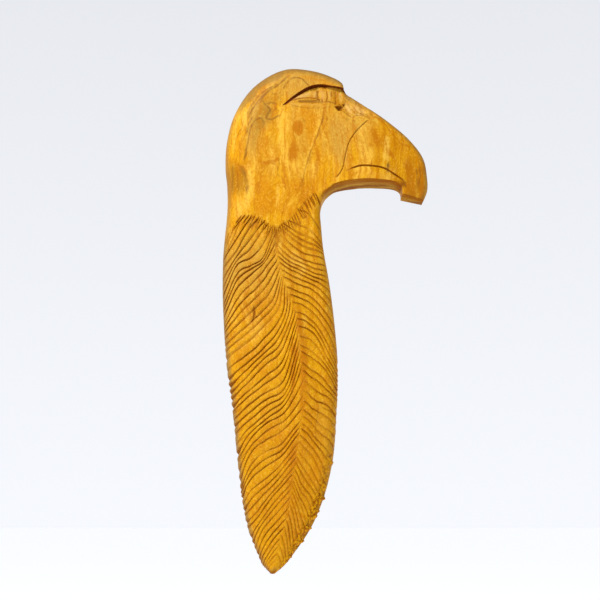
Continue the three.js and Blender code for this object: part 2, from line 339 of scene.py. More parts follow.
brown_and_shade_marks = [
    ([(-48, 55), (-42, 65), (-33, 76), (-22, 83), (-12, 91), (-2, 101)], 1.7, 0.85),
    ([(-10, 80), (-4, 90), (4, 96), (16, 96), (24, 90), (31, 79)], 1.6, 0.75),
    ([(-64, 33), (-58, 47), (-49, 60), (-39, 71), (-30, 77)], 1.8, 0.85),
    ([(-67, 36), (-61, 50), (-52, 63), (-42, 74), (-30, 82), (-20, 88)], 1.5, 0.7),
    ([(-60, 36), (-54, 48), (-46, 58), (-38, 66)], 1.1, 0.5), ([(-26, 60), (-16, 66), (-8, 76)], 1.2, 0.5),
    ([(-66, 10), (-63, 24), (-57, 36)], 1.6, 0.8), ([(-54.5, -254), (-53.5, -266), (-56, -276)], 1.8, 1.2),
    ([(-52, 84), (-40, 93), (-24, 101)], 1.2, 0.6),
    ([(-73, 22), (-68, 40), (-58, 58), (-46, 72)], 1.0, 0.6), ([(-38, 54), (-30, 58), (-20, 56)], 2.2, 0.7),
    ([(-30, 73), (-22, 71), (-14, 74)], 1.6, 0.5),
    ([(-52, 12), (-49, 18), (-46, 12), (-49, 5), (-52, 12)], 1.1, 0.5),
    ([(-26, 44), (-22, 49), (-17, 44)], 1.4, 0.5),
    ([(-46, 57), (-42, 60), (-36, 52), (-31, 47), (-34, 40), (-36, 33), (-28, 32), (-16, 38)], 1.8, 0.9),
    ([(-60, 21), (-52, 30), (-45, 33), (-39, 27), (-42, 18)], 1.7, 0.8),
    ([(-69, -31), (-66, -16), (-63, -1), (-61, 15), (-55, 29)], 1.7, 0.8),
    ([(51, 46), (48, 26), (42, 7), (33, -14), (26, -36), (20, -58), (17, -72)], 1.3, 0.75),
    ([(57, 40), (53, 22), (46, 6), (38, -12), (31, -30), (28, -48)], 1, 0.45),
    ([(-15, 27), (-15, -16)], 1, 0.35), ([(20, 33), (21, 27)], 1.8, 0.5), ([(14, 24), (14, 16)], 1.2, 0.4),
    ([(118, -1), (118, -18)], 0.9, 0.4), ([(193, -40), (193, -71)], 2, 0.6),
    ([(0, 55), (19, 50), (42, 49.5), (63, 51)], 1.6, 0.5), ([(41, 78), (39, 69), (45, 61)], 2.0, 0.7),
    ([(34, 60), (47, 59), (60, 59.5), (70, 55)], 1.8, 0.7),
    ([(12, 60.5), (22, 60), (34, 60), (43, 61)], 1.7, 0.9), ([(-88, -36), (-87, -82)], 2.4, 0.55),
    ([(-74, -42), (-67, -60), (-64, -84)], 4, 0.6), ([(-80, -46), (-78, -90)], 1.8, 0.5),
    ([(-19, -27), (-16, -37), (-19, -51), (-16, -60)], 1.2, 0.5), ([(148, -37), (148, -48)], 2.8, 1.2),
    ([(56, 38), (57, 30)], 2, 0.4), ([(85, 33), (86, 29)], 2.2, 0.6), ([(96, 31), (99, 27)], 2.2, 0.5),
    ([(90, 32), (97, 37), (107, 38.5), (117, 35.5)], 0.9, 0.6),
    ([(94, 28), (101, 33), (109, 34), (115, 31)], 0.9, 0.5), ([(170, -66), (165, -75)], 3.5, 1),
    ([(43, -400), (40, -420), (38, -440), (41, -462)], 1, 0.5),
    ([(33, -402), (31, -430), (27, -455)], 1, 0.4), ([(196, -34), (198, -52), (195, -70)], 1.6, 0.6),
    ([(171, -62), (176, -70)], 1.6, 0.9), ([(77, 85), (80, 77)], 1.8, 1),
    ([(75, 47), (80, 52), (84, 58)], 1.7, 1),
]
pale_and_highlight_marks = [
    ([(47, 40), (44, 22), (37, 4), (29, -16), (22, -38), (16, -60)], 2.0, 0.6),
    ([(-73, 14), (-70, 36), (-60, 56)], 3, 0.6), ([(3, 60), (15, 56.5), (33, 55), (54, 55.5)], 1.1, 0.35),
    ([(0, 61), (10, 67), (19, 71)], 1.8, 0.8), ([(-54, -60), (-55, -95)], 2.5, 0.6),
    ([(-18, -71), (-19, -102)], 3, 0.7), ([(86, 56), (93, 43)], 5, 0.8), ([(102, 49), (117, 41)], 3, 0.7),
    ([(147, 2), (145, -29)], 4, 1.4), ([(60, -17), (57, -56)], 3, 0.4), ([(75, 78), (77, 62)], 4.5, 0.6),
    ([(93, -57), (120, -52), (150, -59), (171, -70)], 1.8, 0.5), ([(28, 75), (42, 74)], 4, 0.5),
    ([(-81, 46), (-86, 15), (-86, -17)], 7, 0.45), ([(-62, -42), (-59, -70), (-66, -104)], 6, 0.8),
    ([(-78, -94), (-76, -120)], 9, 0.7), ([(-6, 42), (-4, 12)], 6, 0.6), ([(38, -36), (33, -62)], 8, 0.6),
    ([(-28, -14), (-26, -48)], 6, 0.5), ([(-40, 12), (-42, -20)], 6, 0.3), ([(20, -32), (22, -50)], 5, 0.4),
]
bare_and_highlight_marks = [
    ([(-4, 58.5), (7, 55), (22, 54), (40, 54), (54, 53)], 1.2, 0.45),
    ([(2, 63), (14, 68), (30, 72)], 3.5, 0.75), ([(36, 76), (38, 68)], 3.5, 0.6),
    ([(48, 78), (51, 70), (49, 60)], 4.5, 0.55), ([(60, 76), (61, 64)], 3, 0.45),
    ([(75, 75), (78, 62)], 4, 0.6), ([(87, 56), (92, 44)], 5, 0.9), ([(98, 51), (112, 43)], 5, 0.8),
    ([(98, 41), (113, 39)], 2.5, 0.7),
]


def refine(lines, reach):
    """Halves the faces that lie near any of the lines."""
    faces = list(carving.faces)
    rows, spots = grid_places([face.calc_center_median() for face in faces])
    x, z = face_place(rows, np.clip(spots, 0, face_columns))[:2]
    near = np.zeros(len(faces), bool)
    for line in lines:
        near |= way_along(line, x, z)[0] < reach
    near &= spots < face_columns + 1
    edges = {edge for face, close in zip(faces, near) if close for edge in face.edges}
    bmesh.ops.subdivide_edges(carving, edges=list(edges), cuts=1, use_grid_fill=True)


across_eye = [(20, 70), (60, 68)]
under_brow_line = [(12, 67), (30, 72), (70, 68)]
below_bib_edge = [(at, top - 8) for at, top in bib_edge[3:-2]]
refine([brow_line, lid_line, lore_line, across_eye, cere_line, mouth_line, bib_edge[3:-1]], 8)
refine([line for line, half_width, strength in brown_and_shade_marks], 3)
refine([brow_line, lid_line, eye_crease, cere_line, mouth_line, notch_outline], 2.4)
refine([under_brow_line], 6)
refine([below_bib_edge], 7)

rows, spots = grid_places([vert.co for vert in carving.verts])
on_face = spots <= face_columns
behind = (spots > back) & (spots < left_wall)
seen = ~behind
base = np.where(on_face, spots, np.where(spots < left_wall, face_columns, 0))
x, z, across, start_z, from_left, from_right, round_left, round_right, width = face_place(rows, base)
x_next, z_next = face_place(rows, np.clip(base + 0.3, 0, face_columns))[:2]
x_last, z_last = face_place(rows, np.clip(base - 0.3, 0, face_columns))[:2]
run = np.stack([x_next - x_last, z_next - z_last])
run /= np.maximum(np.hypot(*run), 1e-6)
on_left = across < 0.5
way = np.abs(1 - 2 * across)
wall_share = np.clip(np.where(spots < back, back - spots, spots - left_wall) / wall_columns, 0, 1)
relief = np.zeros(len(x))
cut_shade = np.zeros(len(x))


def close_by(line, reach):
    """Picks the vertices in the box around a line."""
    low, high = np.min(line, axis=0) - reach, np.max(line, axis=0) + reach
    return np.flatnonzero(seen & (x > low[0]) & (x < high[0]) & (z > low[1]) & (z < high[1]))


def carve(line, half_width, depth, shade=1, taper=4):
    """Sinks a V along a line into the face, shallow at both of its ends, and darkens it as painted shade
    and gathered oil.
    """
    near = close_by(line, half_width + 1)
    distance, along, length = way_along(line, x[near], z[near])
    ends = np.clip(np.minimum(along, length - along) / taper, 0.15, 1)
    vee = np.clip(1 - distance / half_width, 0, 1) * ends
    relief[near] = np.maximum(relief[near], depth * vee)
    cut_shade[near] = np.maximum(cut_shade[near], shade * np.clip(1.25 * vee, 0, 1))


def snap(line, reach):
    """Moves the vertices closest to a line onto it, so that the line comes out crisp."""
    near = close_by(line, reach)
    distance, along, length = way_along(line, x[near], z[near])
    spot = smooth_curve(smooth_line(line)[1], line, along)
    close = (distance < reach) & (along > 0) & (along < length)
    x[near[close]] = spot[close, 0]
    z[near[close]] = spot[close, 1]


snap(brow_line, 0.45)
snap(lid_line, 0.4)
snap(cere_line, 0.4)
snap(mouth_line, 0.25)


def hump(at_x, at_z, wide, high):
    """A soft round spot that is 1 in its middle."""
    return np.exp(-((x - at_x) / wide) ** 2 - ((z - at_z) / high) ** 2)


def roughness(wide, high, layer):
    """Smooth random unevenness between -1 and 1, with lumps of about this size."""
    return np.array([noise.noise(Vector((at_x / wide, at_z / high, layer))) for at_x, at_z in zip(x, z)])


# The face's height over the back, before its edges are rounded. The beak slopes back to the hook, and the
# feather has a low ridge along its midrib.
tip_thickness = 24
feather_thickness = 52
thinning_length = 416.5
beak_start_x = 120
beak_length = 92
beak_setback = 26
hook_setback = 8
ridge_height = 3
edge_fall = 6
thinned = np.sin(np.clip((z - tip_z) / thinning_length, 0, 1) * np.pi / 2)
feather_thick = mix(tip_thickness, feather_thickness, thinned)
along_beak = np.clip((x - beak_start_x) / beak_length, 0, 1)
face_height = mix(feather_thick, board_thickness, ease(-230, -110, z)) - beak_setback * along_beak ** 1.5
face_height -= hook_setback * np.clip((-62 - z) / 26, 0, 1) * along_beak
middle = along_feather(midrib, z)
feather_edge = np.where(x < middle, along_feather(feather_left, z), along_feather(feather_right, z))
outward = np.clip(np.abs(x - middle) / np.maximum(np.abs(feather_edge - middle), 1), 0, 1)
on_feather = 1 - ease(-260, -150, z)
face_height += on_feather * (ridge_height * np.exp(-((x - middle) / 16) ** 2) - edge_fall * outward ** 2)
plane_height = face_height.copy()
for inside, radius in ((from_left, round_left), (from_right, round_right)):
    radius = np.minimum(radius, 0.45 * width)
    share = np.clip(inside / radius, 0, 1)
    face_height -= radius * (1 - np.sqrt(np.clip(1 - (1 - share) ** 2, 0, 1)))
rounded_off = plane_height - face_height

# The long hair cuts, each a V of its own depth between rounded lands. Crowded cuts are narrower and
# shallower, and where they run out over the feather's edges they leave nicks.
hair_half_width = 1.2
hair_depth = 2.0
full_pitch = 7
land_drop = 1.1
nick_half_width = 3.6
nick_depth = 3.8
left_low_strength, right_low_strength = 0.62, 0.52
left_high_strength, right_high_strength = 1, 0.72
unsteady = roughness(26, 26, 3.1)
near_x, near_z = chevron(np.minimum(start_z + 0.5, neck_z), across)
far_x, far_z = chevron(np.maximum(start_z - 0.5, tip_z), across)
spread = np.abs((near_x - far_x) * run[1] - (near_z - far_z) * run[0])
bib_x, bib_z = zip(*bib_edge)
bib_height = np.interp(x, bib_x, bib_z)
below_bib = ease(0, 6, bib_height - z + 5 * unsteady) * (rows <= feather_rows)
hair = np.zeros(len(x))
nick = np.zeros(len(x))
for cuts, here, low_strength, high_strength in (
    (left_cuts, on_left, left_low_strength, left_high_strength),
    (right_cuts, ~on_left, right_low_strength, right_high_strength),
):
    rising = cuts[::-1]
    after = np.clip(np.searchsorted(rising, start_z), 1, len(rising) - 1)
    nearest = np.where(start_z - rising[after - 1] < rising[after] - start_z, after - 1, after)
    own_force = hand.uniform(0.78, 1.15, len(rising))[nearest]
    own_nick = np.clip(hand.uniform(-0.15, 1.0, len(rising)), 0.05, 2)[nearest]
    gap = spread * np.minimum(np.abs(start_z - rising[after - 1]), np.abs(start_z - rising[after]))
    pitch = spread * (rising[after] - rising[after - 1])
    half_width = np.minimum(hair_half_width, 0.27 * pitch)
    vee = np.clip(1 - gap / np.maximum(half_width, 0.1), 0, 1)
    strength = own_force * mix(low_strength, high_strength, ease(-500, -360, z))
    strength = strength * np.clip(half_width / hair_half_width, 0.2, 1)
    strength = strength * np.clip(1 + 0.9 * unsteady, 0.5, 1.2)
    hair = np.where(here, vee * strength, hair)
    land = np.clip(gap / np.maximum(pitch / 2, 1e-6), 0, 1)
    land_shape = np.minimum(1, pitch / full_pitch) * (1 - land) ** 1.6
    relief += np.where(here, land_drop * land_shape * below_bib, 0)
    nick_reach = np.maximum(np.minimum(nick_half_width, 0.42 * pitch), 1e-6)
    nick = np.where(here, own_nick * np.clip(1 - gap / nick_reach, 0, 1), nick)
begun = below_bib * ease(0, 0.05, way) * ease(-638, -592, start_z)
hair *= begun * (1 - 0.9 * np.clip(1.4 * hump(-17, -151, 12, 13), 0, 1))
nick *= begun
relief += hair_depth * hair
nicked = ease(0.84, 1, way) * np.where(on_left, ease(-290, -350, z), ease(-310, -360, z))
# The long cuts get painted shade, less where they run out into nicks at the edges.
cut_shade = np.maximum(cut_shade, np.clip(1.05 * hair, 0, 1) * (1 - 0.65 * nicked))
inward = nick_depth * nick * nicked * (0.7 + 0.3 * wall_share)

# Low on the right the edge is torn: it has lost chips and bites, and what is left beside them is lumpy.
chip_depth = 8
bite_depth = 8
lump_depth = 2.4
ragged = roughness(6, 6, 9.4)
chipped = roughness(30, 5, 9.4)
bite = z / 13 + 0.6 * np.sin(z / 19)
bite_size = np.array([noise.cell(Vector((0.5, count, 5.1))) for count in np.floor(bite)])
tooth = np.minimum(bite % 1, 3 * (1 - bite % 1))
torn = ease(0.6, 1, way) * ease(-440, -520, z) * ease(tip_z, -600, z) * ~on_left
inward += (chip_depth * np.clip(chipped + 0.1, 0, 0.42) + bite_depth * bite_size * tooth) * torn
x += np.where(on_left, inward, -inward)
lumps_from = mix(0.5, 0.7, ease(-590, -500, z))
lumpy = ease(-455, -515, z) * ease(lumps_from, lumps_from + 0.2, way) * ~on_left
relief += lump_depth * np.clip(ragged, 0, 1) * lumpy

# Short starter cuts along the bib's edge, under a step in the wood, and short cuts between the long ones.
starter_half_width = 1.3
starter_depth = 2.4
bib_step = 0.9
under_bib = np.exp(-np.clip(bib_height - z, 0, 99) / 22) * (rows <= feather_rows + 60)
relief += bib_step * ease(0, 2, bib_height - z) * under_bib
bib_middle = -18
lean_places = [-74, -45, -34, bib_middle, 10, 38]
leans = [-0.7, -0.45, -0.12, 0.1, 0.45, 0.5]
for at in (*np.arange(-74, bib_middle, 2.8), *np.arange(bib_middle, 43, 2.9)):
    lean = np.interp(at, lean_places, leans) + hand.uniform(-0.08, 0.08)
    start = np.array((at + hand.uniform(-0.5, 0.5), np.interp(at, bib_x, bib_z) + hand.uniform(-1, 4)))
    length = hand.uniform(15, 25) * min(1, 0.72 + abs(at - bib_middle) / 40)
    end = start + length * np.array((math.sin(lean), -math.cos(lean)))
    carve([start, end], starter_half_width, starter_depth, hand.uniform(0.95, 1.3))
for line in (
    [(-67, -434), (-76, -439), (-85, -446)], [(-66, -447), (-75, -453), (-84, -461)],
    [(-70, -404), (-79, -409), (-90, -415)], [(-72, -372), (-80, -376), (-91, -383)],
    [(-60, -466), (-70, -476), (-79, -485)], [(48, -405), (58, -409), (69, -416)],
    [(-82, -130), (-90, -148), (-97, -164)], [(-90, -138), (-95, -150), (-99, -160)],
    [(-75, -127), (-84, -148), (-96, -173)],
):
    carve(line, 1.2, 1.6, 0.9)
carve([(-20, -150), (-22, -166), (-25, -180)], 1.3, 1.7, 0.9)
carve([(8.6, -147.7), (24.6, -158.3), (35.4, -162.4)], 1.4, 1.9, 0.95)
carve([(9, -155), (22, -166), (37, -171)], 1.3, 1.7, 0.85)
split = [(-54, -250), (-53, -262), (-55, -278)]
carve(split, 2.4, 3.6, 1, 9)

# The brow hangs over a hollow whose floor dips inward from the lid. An almond eye swells in its left
# half, and upright chisel facets fill the right half down to a deep notch.
hollow_slope = math.radians(13)
lid_step = 0.4
eye_swell = 3.4
brow_undercut = 1.8
brow_start_x, brow_end_x = brow_line[0][0], brow_line[-1][0]
lore_start_x = lore_line[0][0]
lore_end_x, lore_end_z = lore_line[-1]
under_brow = height_of(brow_line, x) - z
over_edge = z - np.where(x < lore_start_x, height_of(lid_line, x), height_of(lore_line, x))
before_beak = (z - lore_end_z) - 1.14 * (x - lore_end_x)
hangs_over = (under_brow > 0.05) | (x > brow_end_x)
floor = seen & (x > brow_start_x) & (over_edge > 0) & hangs_over & (before_beak > 0)
chips = np.array([noise.cell(Vector((at_x / 9 + at_z / 11, at_z / 7, 2.2))) for at_x, at_z in zip(x, z)])
dip = np.tan(hollow_slope) * over_edge * ease(-12, 8, x) + lid_step
almond = np.clip(1 - ((x - 29) / 19) ** 2 - ((z - 61.4) / 5.2) ** 2, 0, 1)
dip -= eye_swell * np.sqrt(almond) * ease(0, 3, over_edge)
facet_places = [33, 42, 43.5, 50, 56.2, 57.6, 60.5, 63, 64.2, 70, 71.2, 78, 84]
facet_dips = [0, 0.9, -0.8, -0.9, 1.1, -0.8, -0.7, 0.8, -0.5, 1.1, -0.7, 0.4, 0]
facets = np.interp(x + 0.1 * (z - 66), facet_places, facet_dips)
dip += facets * ease(1, 6, over_edge) * (0.6 + 0.8 * chips)
dip += brow_undercut * ease(5, 1, under_brow) * ease(64, 48, x)

# In front of the eye the hollow runs out into the lore: light chisel facets that slope back to the top
# of the beak, with a deep notch where they meet the eye.
lore_slope = math.radians(9.5)
gouge_depth = 1.5
shallow_notch, deep_notch = 1.5, 6
slope_back = 1.4 + np.tan(lore_slope) * np.clip(z - 34, 0, 99)
gouge = np.abs(np.sin(x / 3.4 + z / 4.6 + 1.4 * chips))
slope_back += gouge_depth * gouge + chips
dip = mix(dip, slope_back * ease(0, 2.2, over_edge) * ease(0, 6, before_beak), ease(68, 82, x))
in_notch = inside_outline(notch_outline, x, z) & seen
notch_rim = way_along(notch_outline + notch_outline[:1], x, z)[0]
deep_end = ease(60, 47, z + (x - 73) * 0.2)
dip += np.where(in_notch, mix(shallow_notch, deep_notch, deep_end) * ease(0, 2.5, notch_rim), 0)
relief = np.where(floor, np.maximum(dip - rounded_off, np.where(x > lore_start_x, 0, 0.2)), relief)
# Painted shade in the notch, darkest at its deep end, and along the creases between the lore's gouges.
cut_shade = np.where(in_notch & floor, mix(0.45, 1, deep_end) * ease(0, 0.8, notch_rim), cut_shade)
gouged = floor & (x > 79) & ~in_notch
cut_shade = np.where(gouged, np.maximum(cut_shade, 0.4 * ease(0.8, 1, gouge)), cut_shade)

# The floor runs in under the brow a little, and a painted shadow lies along the brow's edge, wider in some
# places.
tucked_under = 3
tuck = np.exp(-np.clip(under_brow, 0, 99) / 4.5) * np.clip(dip / 8, 0, 1)
z = z + np.where(floor & (x < brow_end_x), tucked_under * tuck, 0)
shadow_places = [-11.5, -8, -4, 4, 25, 45, 54, 58, 78, 81, 84]
shadow_heights = [0.7, 2.6, 4.5, 5.2, 4.8, 3.5, 4.0, 2.3, 1.9, 3.6, 5]
shadow = np.interp(x, shadow_places, shadow_heights)
beside_brow = seen & (x > shadow_places[0]) & (x < brow_end_x) & (under_brow > -0.3) & (under_brow < 9)
brow_shadow_share = np.where(beside_brow & (wall_share > 0.9), np.clip(under_brow / shadow, 0, 2), 2)

# A crease in the lid, one over the eye, and the lines that the chisel left between its facets, all darkened
# with painted shade.
chisel_half_width = 1.6
chisel_depth = 1.1
carve(lid_crease, 1.1, 1.0, 0.35)
for line in (
    eye_crease, [(43.6, 80), (42.2, 72), (43.4, 64)], [(55.8, 79), (56.8, 69), (55.5, 59)],
    [(63.6, 79), (63, 67)], [(69, 79), (69.7, 66), (68.6, 54)], [(48.5, 66), (49.5, 58)],
):
    near = close_by(line, 2)
    distance, along, length = way_along(line, x[near], z[near])
    ends = np.clip(np.minimum(along, length - along) / 3, 0.2, 1)
    vee = np.clip(1 - distance / chisel_half_width, 0, 1) * ends
    relief[near] += chisel_depth * vee
    cut_shade[near] = np.maximum(cut_shade[near], np.clip(1.4 * vee, 0, 1))

# The cere's edge and the mouth are V cuts, with a few fine checks beside them. The lower jaw lies a little
# deeper than the beak.
jaw_step = 1.1
carve(cere_line, 1.25, 1.8, 0.62, 6)
carve(mouth_line, 1.5, 2.4, 0.85, 14)
for line in (
    [(123.7, -33), (123.8, -43)], [(65.5, -47), (65.3, -60)], [(-19.6, -105), (-19.3, -117)],
    [(-15, -107), (-14.5, -112)], [(12, 97), (11, 82)], [(110.5, -13), (110.5, -27)],
    [(150, -31), (148, -43)], [(-26, -30), (-22, -44)],
):
    carve(line, 1.0, 0.9, 0.55, 3)
below_mouth = way_along(mouth_line, x, z)[0]
under_mouth = (x > 92) & (x < 176) & (z < height_of(mouth_line, x))
relief += np.where(under_mouth, jaw_step * np.exp(-below_mouth / 7) * ease(92, 104, x), 0)

# A soft hollow at the nape, a crease behind the cheek and hand-worked unevenness over the whole face.
nape_depth = 2.2
crease_depth = 0.9
relief += nape_depth * hump(-84, -58, 16, 30)
behind_cheek = way_along([(-43, 73), (-58, 46), (-64, 18), (-66, -14), (-65, -37)], x, z)[0]
relief += crease_depth * ease(7, 0, behind_cheek)
uneven = 0.9 * roughness(30, 42, 7.7) + 0.35 * roughness(10, 15, 1.3)
relief += uneven * ease(0, 6, np.minimum(from_left, from_right))

# The sides go straight down from the face, and the back is flat between them.
y = (relief - face_height) * wall_share
back_share = np.clip((spots - back) / back_columns, 0, 1)
right_x, right_z = face_place(rows, np.full(len(x), face_columns))[:2]
left_x, left_z = face_place(rows, np.zeros(len(x)))[:2]
x = np.where(behind, mix(right_x, left_x, back_share), x)
z = np.where(behind, mix(right_z, left_z, back_share), z)
y = np.where(behind, 0, y)
cut_shade = np.where(behind, 0, cut_shade * ease(0.5, 1, wall_share))

# The inner corner at the foot of the hook holds a spot of painted shade.
hook_corner = hump(168, -66, 7, 5) * (y < -14)
cut_shade = np.maximum(cut_shade, 0.85 * np.clip(1.5 * hook_corner, 0, 1))

# Where the oil soaked in: orange patches, tan and brown zones, each as a place, two radii and a strength.
amber_spots = [
    (4, -117, 17, 11, 0.75), (28, -98, 12, 10, 0.6), (-20, -146, 20, 10, 0.9), (20, -80, 40, 34, 0.35),
    (-30, -95, 26, 20, 0.45), (30, 10, 26, 50, 0.25), (178, -18, 26, 26, 0.45), (-40, -72, 13, 18, 0.9),
    (-34, -104, 18, 12, 0.8), (30, 28, 9, 30, 0.7), (130, 0, 20, 26, 0.5), (150, 4, 22, 24, 0.4),
    (194, -56, 18, 40, 0.8), (25, 98, 18, 5, 0.6), (-22, -185, 16, 26, 0.4), (-10, -240, 30, 30, 0.3),
    (-40, -300, 40, 60, 0.3), (10, -460, 60, 80, 0.35), (0, -570, 60, 70, 0.5),
]
tan_spots = [
    (80, -8, 14, 42, 0.9), (15, 92, 24, 9, 0.9), (-42, 40, 20, 24, 1.0), (-57, -2, 12, 34, 0.9),
    (147, -13, 4.5, 13, 1.2), (100, 22, 12, 12, 0.5), (50, -18, 5, 24, 0.4), (20, 70, 22, 8, 0.8),
    (-20, -147, 22, 12, 0.3), (0, 96, 50, 12, 0.8), (-70, -190, 34, 50, 0.5), (66, 10, 14, 40, 0.6),
    (-14, 76, 20, 14, 0.6), (110, 50, 22, 12, 0.5), (-96, -230, 14, 90, 0.5), (50, -430, 16, 70, 0.4),
    (-20, -200, 90, 60, 0.45),
]
brown_spots = [
    (-88, -58, 15, 26, 1.2), (152, -4, 24, 26, 0.32), (-72, -66, 8, 22, 0.8), (-20, -152, 13, 14, 0.8),
    (8, -132, 14, 8, 0.6), (-52, -128, 14, 7, 0.4), (-22, 8, 3, 18, 0.3), (-46, 20, 5, 10, 0.4),
    (-44, 34, 16, 22, 0.75), (-54, 0, 8, 26, 0.6), (-22, 64, 18, 12, 0.55), (-34, 46, 9, 8, 0.4),
    (149, -38, 4, 7, 0.8), (-30, 44, 8, 6, 0.4), (28, 60.5, 15, 3, 1.0), (88, 33, 4, 5, 0.5),
    (104, 29, 12, 6, 0.5), (-18, -138, 6, 6, 0.4),
]
wander_x, wander_z = roughness(8, 12, 4.4), roughness(8, 12, 8.8)
off_back = y < -0.5


def soaked(places):
    """Adds up round spots of stain, all over but on the back."""
    total = np.zeros(len(x))
    for at_x, at_z, wide, high, strength in places:
        total += strength * hump(at_x, at_z, wide, high)
    return np.clip(total, 0, 1.3) * off_back


def painted(marks, wobble):
    """Lays marks along their lines, each a little unsteady and fainter at its ends."""
    total = np.zeros(len(x))
    for line, half_width, strength in marks:
        near = close_by(line, 3 * half_width)
        near = near[off_back[near]]
        shaken_x = x[near] + wobble * wander_x[near]
        shaken_z = z[near] + wobble * wander_z[near]
        distance, along, length = way_along(line, shaken_x, shaken_z)
        fade = np.clip(0.65 + 3 * np.minimum(along, length - along) / length, 0, 1)
        total[near] = np.maximum(total[near], strength * fade * np.exp(-(distance / half_width) ** 2))
    return total


# The left rim and the crown's rounded edge are browner. The rings show where that rounding cuts them.
rim_reach = mix(10, 20, ease(40, 80, z))
rim = ease(rim_reach, 2, from_left)
rim *= (0.5 + 0.5 * np.clip(1.4 * ease(40, 75, z) + ease(-140, -170, z), 0, 1.4)) * seen
band_depth = mix(17, 7, ease(-25, 15, x))
crown_band = ease(1.15, 0.8, (from_left + 8 * unsteady) / band_depth) * ease(38, 62, z) * (x < 76) * seen
rim = np.maximum(rim, 0.9 * crown_band) * mix(0.25, 1, wall_share)
cut_by_rounding = ease(0.1, 1.5, rounded_off) * ease(12, 4, rounded_off) * ease(-40, 0, z)
ring_show = 0.12 + cut_by_rounding + 0.6 * hump(5, 92, 50, 22) + 0.7 * hump(-42, 52, 26, 36)
shades = {
    "cut_shade": cut_shade,
    "amber_soak": soaked(amber_spots),
    "tan_soak": soaked(tan_spots),
    "brown_soak": soaked(brown_spots),
    "amber_mark": np.maximum(painted(amber_marks, 5), np.clip(3.2 * ragged, 0, 1) * lumpy * seen),
    "brown_and_shade_mark": painted(brown_and_shade_marks, 1.2),
    "pale_and_highlight_mark": painted(pale_and_highlight_marks, 2),
    "bare_and_highlight_mark": painted(bare_and_highlight_marks, 1.5),
    "brow_shadow_share": brow_shadow_share,
    "rim_shade": rim,
    "wall_share": wall_share,
    "lump_show": lumpy * ease(0.55, 0.8, wall_share) * seen,
    "ring_show": np.clip(ring_show, 0, 1),
}
layers = [carving.verts.layers.float.new(name) for name in shades]
metres = np.stack([x, y, z], 1) / 1000
shade_rows = np.stack(list(shades.values()), 1)
for vert, at, values in zip(carving.verts, metres, shade_rows):
    vert.co = at
    for layer, value in zip(layers, values):
        vert[layer] = value

# The skin closes along the left edge, and flat faces close the tip and the hook. Faces that look up or down
# are end grain, which drinks more oil; the value kept here also sets the painted shade on faces that look
# down.
# Only the back is shaded flat.
bmesh.ops.remove_doubles(carving, verts=carving.verts, dist=1e-6)
open_edges = [edge for edge in carving.edges if len(edge.link_faces) == 1]
ends = bmesh.ops.holes_fill(carving, edges=open_edges, sides=0)
bmesh.ops.triangulate(carving, faces=ends["faces"])
bmesh.ops.recalc_face_normals(carving, faces=carving.faces)
end_grain = carving.verts.layers.float.new("end_grain")
lump_show = carving.verts.layers.float["lump_show"]
for vert in carving.verts:
    vert[end_grain] = vert.normal.z * (1 - 0.85 * vert[lump_show])
for face in carving.faces:
    face.smooth = face.calc_center_median().y < -0.0001
carving.to_mesh(mesh)
carving.free()
eagle_head = bpy.data.objects.new("eagle_head_carving", mesh)
bpy.context.collection.objects.link(eagle_head)

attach(eagle_head, "root")
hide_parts("carved_eagle_head")

# The finish: plain-sawn softwood under a thin coat of oil. Growth rings are cut at a slant by the
# rounded edges, and the oil turns cuts and end grain dark; painted shade darkens the cuts, the faces that
# look down and the beak's front edge further, and a painted shadow lies under the brow. Shares run from 0
# to 1.
wood = bpy.data.materials.new("oiled_softwood")
wood.use_nodes = True
wood.node_tree.nodes.clear()


class Tone:
    """A value or colour on its way through the nodes of the wood, or later of the sky."""

    tree = wood.node_tree

    def __init__(self, socket):
        self.socket = socket

    @classmethod
    def node(cls, kind, settings=(), sockets=(), out=0):
        """Adds a node, sets it up and hands on one of its outputs."""
        made = cls.tree.nodes.new("ShaderNode" + kind)
        for name, value in dict(settings).items():
            setattr(made, name, value)
        for name, value in dict(sockets).items():
            if isinstance(value, Tone):
                cls.tree.links.new(value.socket, made.inputs[name])
            else:
                made.inputs[name].default_value = value
        return cls(made.outputs[out]) if made.outputs else None

    def maths(self, operation, first, second):
        return Tone.node("Math", {"operation": operation}, {0: first, 1: second})

    def __add__(self, other):
        return self.maths("ADD", self, other)

    __radd__ = __add__

    def __mul__(self, other):
        return self.maths("MULTIPLY", self, other)

    __rmul__ = __mul__

    def __sub__(self, other):
        return self.maths("SUBTRACT", self, other)

    def __rsub__(self, other):
        return self.maths("SUBTRACT", other, self)

    def __pow__(self, exponent):
        return self.maths("POWER", self, exponent)

    def __mod__(self, divisor):
        return self.maths("FLOORED_MODULO", self, divisor)

    def band(self, low, high):
        """Rises gently from 0 at one value to 1 at the other."""
        return Tone.node("MapRange", {"interpolation_type": "SMOOTHSTEP"},
                         {"Value": self, "From Min": low, "From Max": high})

    def blend(self, under, over):
        """Lays one colour over another by this share."""
        return Tone.node("Mix", {"data_type": "RGBA"}, {0: self, 6: under, 7: over}, 2)


def vector_maths(operation, first, second):
    return Tone.node("VectorMath", {"operation": operation}, {0: first, 1: second})


def cloud(scale, detail=3, rough=0.5):
    """Cloudy noise that follows the bent grain, scaled on its own along each axis."""
    stretched = vector_maths("MULTIPLY", bent_place, scale)
    sockets = {"Vector": stretched, "Scale": 1, "Detail": detail, "Roughness": rough}
    return Tone.node("TexNoise", {}, sockets)


def shade(name):
    """A share that the carving's vertices hold under this name."""
    return Tone.node("Attribute", {"attribute_name": name}, out="Fac")


